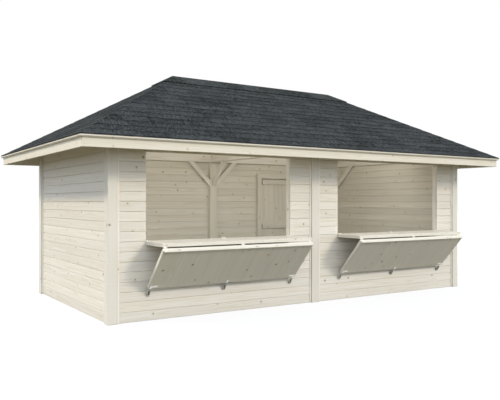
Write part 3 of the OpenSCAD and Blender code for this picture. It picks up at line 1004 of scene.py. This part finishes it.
@dataclass
class RoofSlope:
    """One side of the hip roof: boarding under felt and courses of cut shingles.

    Boards and felt start with some spare length, and the planes that bound the slope trim them.
    """

    node: str
    outward: Vector
    spare: float = 0.2
    board_width: float = 0.115
    board_thickness: float = 0.016
    groove: float = 0.003
    felt: float = 0.002
    shingle: float = 0.004
    exposure: float = 0.145
    lap: float = 0.035
    tab: float = 0.333
    slit: float = 0.004
    edge_share: float = 0.2
    stagger: float = 0.2
    wobble: float = 0.003
    strip: float = 0.008
    strip_height: float = 0.012
    strip_ease: float = 0.001

    def __post_init__(self) -> None:
        """Reads the slope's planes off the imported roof."""
        points = [vert.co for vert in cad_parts[self.node].data.vertices]
        self.side = Vector((-self.outward.y, self.outward.x, 0.0))
        reach_out = max(point.dot(self.outward) for point in points)
        eave = [point for point in points if point.dot(self.outward) > reach_out - MERGE_GAP]
        ridge_z = max(point.z for point in points)
        ridge = [point for point in points if point.z > ridge_z - MERGE_GAP]
        self.half_eave = max(point.dot(self.side) for point in eave)
        self.half_ridge = max(point.dot(self.side) for point in ridge)
        self.ridge_out = max(point.dot(self.outward) for point in ridge)
        run, rise = reach_out - self.ridge_out, ridge_z - max(point.z for point in eave)
        self.up = (rise * Z_AXIS - run * self.outward).normalized()
        self.foot = reach_out * self.outward + min(point.z for point in eave) * Z_AXIS
        self.length = math.hypot(run, rise)
        self.turn = basis(self.side, self.up)
        self.normal = self.side.cross(self.up)
        self.cuts = self.edge_cuts(reach_out)

    def edge_cuts(self, reach_out: float) -> list[Plane]:
        """The planes that bound the slope.

        Args:
            reach_out: how far the drip edge stands out.

        Returns:
            The drip edge, the ridge where the slope has one, and the two hips.
        """
        cuts = [(self.foot, self.outward)]
        if self.half_ridge > MERGE_GAP:
            cuts.append((self.ridge_out * self.outward, -self.outward))
        for hand in HANDS:
            corner = reach_out * self.outward + hand * self.half_eave * self.side
            top = self.ridge_out * self.outward + hand * self.half_ridge * self.side
            hip = top - corner
            across = Vector((hip.y, -hip.x, 0.0)).normalized()
            cuts.append((corner, across if across.dot(hand * self.side) > 0 else -across))
        return cuts

    def place(self, along: float, up: float, high: float) -> Matrix:
        """Where a flat thing lies on the slope.

        Args:
            along, up: its middle, from the middle of the drip edge.
            high: its middle above the underside.

        Returns:
            The matrix, with Z out of the roof.
        """
        middle = self.foot + along * self.side + up * self.up + high * self.normal
        return Matrix.Translation(middle) @ self.turn

    def half_at(self, up: float) -> float:
        """Half the slope's length at a height along it."""
        share = min(1.0, max(0.0, up / self.length))
        return self.half_eave + (self.half_ridge - self.half_eave) * share

    def build(self) -> None:
        """Boards the slope, felts it, lays the shingles and closes the drip edge."""
        boards = Joinery(f"{self.node}_boards", EAVE)
        cuts = [(self.foot - self.strip * self.outward, self.outward), *self.cuts[1:]]
        for number in range(math.ceil(self.length / self.board_width)):
            up = (number + 0.5) * self.board_width
            length = 2.0 * self.half_at(up - self.board_width) + self.spare
            size = Vector((length, self.board_width, self.board_thickness))
            place = self.place(0.0, up, 0.5 * self.board_thickness)
            boards.board(size, place, self.groove, False, cuts)
        boards.hand_over(STALL, self.node)
        covering = Joinery(f"{self.node}_shingles", SHINGLE)
        sheet = Vector((2.0 * self.half_eave + self.spare, self.length + self.spare, self.felt))
        place = self.place(0.0, 0.5 * self.length, self.board_thickness + 0.5 * self.felt)
        covering.board(sheet, place, self.edge_share * self.felt, False, self.cuts)
        for course in range(math.ceil(self.length / self.exposure)):
            self.lay_course(covering, course)
        covering.hand_over(STALL)
        self.edge_strip()

    def edge_strip(self) -> None:
        """Nails a planed strip over the ends of the boards along the drip edge."""
        size = Vector((2.0 * self.half_eave, self.strip_height, self.strip))
        middle = self.foot + 0.5 * self.strip_height * Z_AXIS - 0.5 * self.strip * self.outward
        place = Matrix.Translation(middle) @ basis(self.side, Z_AXIS)
        strip = Joinery(f"{self.node}_edge_strip", EAVE)
        strip.board(size, place, self.strip_ease, False, self.cuts)
        strip.hand_over(STALL)

    def lay_course(self, covering: Joinery, course: int) -> None:
        """Lays one course of tabs, tilted over the course below.

        Args:
            covering: the piece that takes the tabs.
            course: its number from the drip edge.
        """
        start = course * self.exposure
        depth = self.exposure + self.lap
        half = self.half_at(start) + self.tab
        stray = covering.dice.uniform(-self.stagger, self.stagger)
        shift = self.tab * (0.5 * (course % 2) + stray)
        tilt = Matrix.Rotation(-self.shingle / depth, 4, "X")
        base = self.board_thickness + self.felt + self.shingle
        for number in range(math.ceil(2.0 * half / self.tab)):
            along = -half + (number + 0.5) * self.tab + shift
            slip = covering.dice.uniform(-self.wobble, self.wobble)
            size = Vector((self.tab - self.slit, depth, self.shingle))
            place = self.place(along, start + 0.5 * depth + slip, base) @ tilt
            covering.board(size, place, self.edge_share * self.shingle, True, self.cuts)


@dataclass
class Roof:
    """The hip roof with its timbers, eaves and ridge."""

    rafter_ease: float = 0.003
    fascia_ease: float = 0.003
    cap_ease: float = 0.003
    cap_length: float = 0.333
    lath_ease: float = 0.002
    lath_height: float = 0.015
    rafters: tuple[str, ...] = ("ridge_beam", "hip_rafters", "long_rafters", "end_rafters")
    fascias: tuple[str, ...] = ("long_fascias", "short_fascias")

    def build(self) -> None:
        """Builds the slopes, the timbers and the trims."""
        sides = {"front": (0.0, -1.0), "back": (0.0, 1.0), "left": (-1.0, 0.0), "right": (1.0, 0.0)}
        for side, (x, y) in sides.items():
            RoofSlope(f"roof_{side}", Vector((x, y, 0.0))).build()
        for node in self.rafters:
            dress(node, "timber", EAVE, self.rafter_ease)
        for node in self.fascias:
            dress(node, "boards", EAVE, self.fascia_ease)
        self.lath()
        self.cap()

    def lath(self) -> None:
        """Mitres four laths along the top of the fascias."""
        _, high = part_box("eave_lath")
        deep = high.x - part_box("short_fascias")[1].x
        piece = Joinery("eave_lath_strips", EAVE)
        turns = (Matrix.Identity(4), Matrix.Rotation(math.pi / 2, 4, "Z"))
        for turn, reach_out, half in ((turns[0], high.y, high.x), (turns[1], high.x, high.y)):
            along = turn @ X_AXIS
            size = Vector((2.0 * half, deep, self.lath_height))
            for hand in HANDS:
                out = turn @ Vector((0.0, hand, 0.0))
                middle = out * (reach_out - 0.5 * deep) + (high.z - 0.5 * self.lath_height) * Z_AXIS
                corner = out * reach_out
                cuts = [(corner + end * half * along, end * along - out) for end in HANDS]
                piece.board(size, Matrix.Translation(middle) @ turn, self.lath_ease, False, cuts)
        piece.hand_over(STALL, "eave_lath")

    def cap(self) -> None:
        """Dresses the ridge cap as a row of bent shingles."""
        low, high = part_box("ridge_cap")
        piece = Joinery("ridge_cap_shingles", CAP)
        count = round((high.x - low.x) / self.cap_length)
        pitch = (high.x - low.x) / count
        for number in range(count):
            start, end = (low + (number + step) * pitch * X_AXIS for step in (0, 1))
            for solid in solids("ridge_cap"):
                if number:
                    trim(solid.part, (start, -X_AXIS))
                if number < count - 1:
                    trim(solid.part, (end, X_AXIS))
                piece.take_eased(solid, self.cap_ease)
        piece.hand_over(STALL, "ridge_cap")


@dataclass
class Fittings:
    """Hinges, latches and the door's ironwork, whose CAD shapes stay, and the keepers."""

    ring_ease: float = 0.003
    ring_bar: float = 0.008
    ring_depth: float = 0.014
    ring_height: float = 0.088
    ring_lean: float = 30.0
    plate_thickness: float = 0.003
    plate_ease: float = 0.0003
    plate_gap: float = 0.001
    zinc: tuple[str, ...] = ("left_latches", "right_latches")
    dull: tuple[str, ...] = ("sill_hinges",)
    hinges: tuple[str, ...] = ("left_counter_hinges", "right_counter_hinges",
                               "left_panel_hinges", "right_panel_hinges")
    iron: tuple[str, ...] = ("door_straps", "door_pintles", "door_pull")

    def build(self) -> None:
        """Gives every fitting its finish."""
        kept = ((self.zinc, ZINC), (self.dull, STEEL), (self.hinges, HINGE), (self.iron, IRON))
        for nodes, finish in kept:
            for node in nodes:
                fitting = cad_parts[node]
                for holder in fitting.material_slots:
                    holder.material = finish.material()
                log.info("%s: kept, in %s", node, finish.name)
        self.keepers()

    def keepers(self) -> None:
        """Rounds the keeper rings and closes the back of each with a dark plate, which is painted
        shade in the ring's hole.
        """
        # The dark plates are painted shade: they stand in the hole of each ring where shade falls.
        shade_plates = Joinery("latch_keepers_plates", IRON)
        lean = math.radians(self.ring_lean)
        inset = Vector((0.0, -0.5 * self.plate_thickness - self.plate_gap, 0.5 * self.ring_height))
        upright = Matrix.Translation(inset) @ basis(Z_AXIS, X_AXIS)
        turn = Matrix.Rotation(lean, 4, "X") @ upright
        for ring in solids("latch_keepers"):
            low, high = ring.corners()
            foot = Vector(((low.x + high.x) / 2, high.y, low.z + self.ring_depth * math.sin(lean)))
            width = high.x - low.x - self.ring_bar
            size = Vector((self.ring_height - self.ring_bar, width, self.plate_thickness))
            shade_plates.board(size, Matrix.Translation(foot) @ turn, self.plate_ease)
            ring.part.free()
        shade_plates.hand_over(STALL)
        dress("latch_keepers", "rings", STEEL, self.ring_ease)


def stand(data: Union[bpy.types.Light, bpy.types.Camera], gaze: Vector,
          spot: Triple = (0.0, 0.0, 0.0)) -> bpy.types.Object:
    """Stands a lamp or a camera in the studio.

    Args:
        data: the lamp or the camera.
        gaze: which way it faces.
        spot: where it is.

    Returns:
        Its object, of the same name.
    """
    stood = bpy.data.objects.new(data.name, data)
    stood.location = spot
    stood.rotation_mode = "QUATERNION"
    stood.rotation_quaternion = gaze.to_track_quat("-Z", "Y")
    bpy.context.scene.collection.objects.link(stood)
    return stood


@dataclass
class Lamp:
    """A broad soft lamp far away; its bearing turns from the front to the right, in degrees."""

    name: str
    bearing: float
    height: float
    strength: float
    colour: Triple
    softness: float

    def build(self) -> None:
        """Hangs the lamp so that it shines at the stall."""
        light = bpy.data.lights.new(self.name, "SUN")
        light.energy = self.strength
        light.color = self.colour
        light.angle = math.radians(self.softness)
        bearing, height = math.radians(self.bearing), math.radians(self.height)
        level = math.cos(height)
        towards = Vector((math.sin(bearing) * level, -math.cos(bearing) * level, math.sin(height)))
        stand(light, -towards)


@dataclass
class RoomLamp:
    """A broad panel of light inside the stall."""

    name: str
    power: float
    size: Span
    spot: Triple
    gaze: Triple
    colour: Triple = (1.0, 0.98, 0.92)

    def build(self) -> None:
        """Hangs the panel, which only lights and isn't seen."""
        light = bpy.data.lights.new(self.name, "AREA")
        light.shape = "RECTANGLE"
        light.size, light.size_y = self.size
        light.energy = self.power
        light.color = self.colour
        lamp = stand(light, Vector(self.gaze), self.spot)
        lamp.visible_camera = False
        lamp.visible_glossy = False


@dataclass
class Studio:
    """Pale floor, white surroundings, soft lamps and the camera."""

    floor_half: float = 60.0
    floor_colour: Colour = srgb(92, 87, 67)
    floor_seen: Colour = srgb(242, 242, 242)
    floor_glow: float = 0.85
    ambient: float = 1.45
    ambient_colour: Colour = (0.77, 0.85, 1.0, 1.0)
    eye: Triple = (-5.395, -8.13, 1.377)
    yaw: float = 32.983
    pitch: float = 0.174
    lens: float = 44.665
    sensor: float = 36.0
    lamps: tuple[Union[Lamp, RoomLamp], ...] = (
        Lamp("key_lamp", bearing=29.0, height=31.5, strength=1.3,
             colour=(1.0, 0.9, 0.74), softness=12.0),
        Lamp("fill_lamp", bearing=0.0, height=20.0, strength=0.52,
             colour=(1.0, 0.93, 0.77), softness=80.0),
        Lamp("side_lamp", bearing=-118.0, height=46.8, strength=2.35,
             colour=(1.0, 0.89, 0.7), softness=7.0),
        RoomLamp("roof_lamp", power=25.0, size=(3.9, 0.5),
                 spot=(0.4, -0.6, 2.35), gaze=(0.0, 0.75, -0.66)),
        RoomLamp("end_lamp", power=19.0, size=(2.0, 1.2),
                 spot=(-2.7, -0.4, 1.2), gaze=(0.97, -0.18, -0.12)),
        RoomLamp("bay_lamp", power=5.5, size=(1.2, 1.0),
                 spot=(0.6, -0.5, 1.15), gaze=(0.85, -0.5, 0.0)),
    )

    def build(self) -> None:
        """Sets up everything round the stall."""
        bpy.context.scene.view_settings.view_transform = "Standard"
        self.floor()
        self.surroundings()
        for lamp in self.lamps:
            lamp.build()
        self.camera()

    def floor(self) -> None:
        """Lays the floor, which looks white and keeps the stall's shadow."""
        plan = bmesh.new()
        bmesh.ops.create_grid(plan, x_segments=1, y_segments=1, size=self.floor_half)
        mesh = bpy.data.meshes.new("studio_floor")
        plan.to_mesh(mesh)
        plan.free()
        floor = bpy.data.objects.new("studio_floor", mesh)
        bpy.context.scene.collection.objects.link(floor)
        tree = ShaderTree(bpy.data.materials.new("studio_floor"))
        paint = tree.add("ShaderNodeBsdfDiffuse", {}, {"Color": self.floor_colour})
        pale = tree.add("ShaderNodeBsdfDiffuse", {}, {"Color": self.floor_seen})
        white = tree.add("ShaderNodeEmission", {}, {"Color": WHITE, "Strength": 1.0})
        lit = tree.layer(self.floor_glow, pale, white)
        tree.show(tree.layer(tree.seen(), paint, lit), "ShaderNodeOutputMaterial")
        mesh.materials.append(tree.holder)

    def surroundings(self) -> None:
        """White to the eye, a plain level of light for the stall."""
        tree = ShaderTree(bpy.data.worlds.new("studio_world"))
        glow = {"Color": self.ambient_colour, "Strength": self.ambient}
        light = tree.add("ShaderNodeBackground", {}, glow)
        white = tree.add("ShaderNodeBackground", {}, {"Color": WHITE, "Strength": 1.0})
        tree.show(tree.layer(tree.seen(), light, white), "ShaderNodeOutputWorld")
        bpy.context.scene.world = tree.holder

    def camera(self) -> None:
        """Stands the camera where the photograph was taken from."""
        optics = bpy.data.cameras.new("photo_camera")
        optics.lens = self.lens
        optics.sensor_width = self.sensor
        optics.clip_end = 4.0 * self.floor_half
        yaw, pitch = math.radians(self.yaw), math.radians(self.pitch)
        level = math.cos(pitch)
        gaze = Vector((math.sin(yaw) * level, math.cos(yaw) * level, math.sin(pitch)))
        bpy.context.scene.camera = stand(optics, gaze, self.eye)


def main() -> None:
    """Builds the stall's looks in order."""
    logging.basicConfig(level=logging.INFO, format="%(name)s: %(message)s")
    Studio().build()
    TimberFrame().build()
    PlankWalls().build()
    for side in ("left", "right"):
        Hatch(side).build()
    BackDoor().build()
    Roof().build()
    Fittings().build()


if __name__ == "__main__":
    main()
